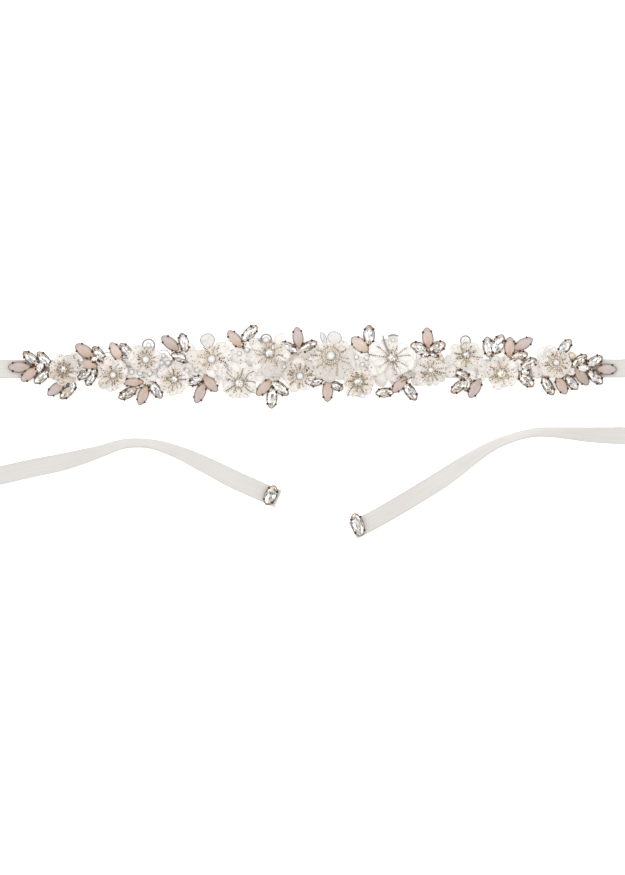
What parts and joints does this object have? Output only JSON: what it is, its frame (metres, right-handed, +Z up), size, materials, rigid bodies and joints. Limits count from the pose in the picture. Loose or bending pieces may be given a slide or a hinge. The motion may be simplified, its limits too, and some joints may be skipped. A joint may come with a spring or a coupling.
{
  "type": "bridal sash",
  "caption": "Narrow ivory satin ribbon sash lying flat, with a long flower appliqué of pronged navette stones, pearls and organza petals along its front and a stone across each loose end.",
  "frame": {"origin": "middle of the waist ribbon's flat underside, under the middle of the appliqué", "axes": "+X along the waist ribbon towards the right end stones, +Y towards the side away from the loose tails, +Z up from the face that rests"},
  "size_m": [0.6155, 0.1534, 0.0127],
  "materials": {
    "satin": "satin",
    "organza": "sheer",
    "crystal": "faceted",
    "opal": "polished",
    "pearl": "pearl",
    "setting": "antique rose gold",
    "bead": "metallic"
  },
  "bodies": {
    "root": {"ribbon_waist": "satin", "ribbon_left_tie": "satin", "ribbon_right_tie": "satin", "tip_stone_left": "crystal", "tip_stone_right": "crystal", "flower_01": "organza", "flower_02": "organza", "flower_03": "organza", "flower_04": "organza", "flower_05": "organza", "flower_06": "organza", "flower_07": "organza", "flower_08": "organza", "flower_09": "organza", "flower_10": "organza", "flower_11": "organza", "flower_12": "organza", "flower_13": "organza", "flower_14": "organza", "flower_15": "organza", "spray_left_end": "opal", "spray_low_a": "opal", "spray_top_a": "opal", "spray_low_b": "crystal", "spray_top_b": "opal", "spray_low_c": "opal", "spray_top_c": "opal", "spray_low_d": "opal", "spray_top_d": "opal", "spray_low_e": "opal", "spray_top_e": "opal", "spray_low_f": "opal", "spray_top_f": "opal", "spray_low_g": "opal", "spray_top_g": "opal", "spray_low_h": "opal", "spray_top_h": "crystal", "spray_top_i": "opal", "spray_right_i": "crystal", "spray_top_j": "crystal", "spray_low_j": "opal", "spray_right_end": "opal", "pearls_left": "pearl", "pearls_upper": "pearl", "pearls_lower": "pearl", "pearls_right": "pearl"}
  },
  "joints": []
}
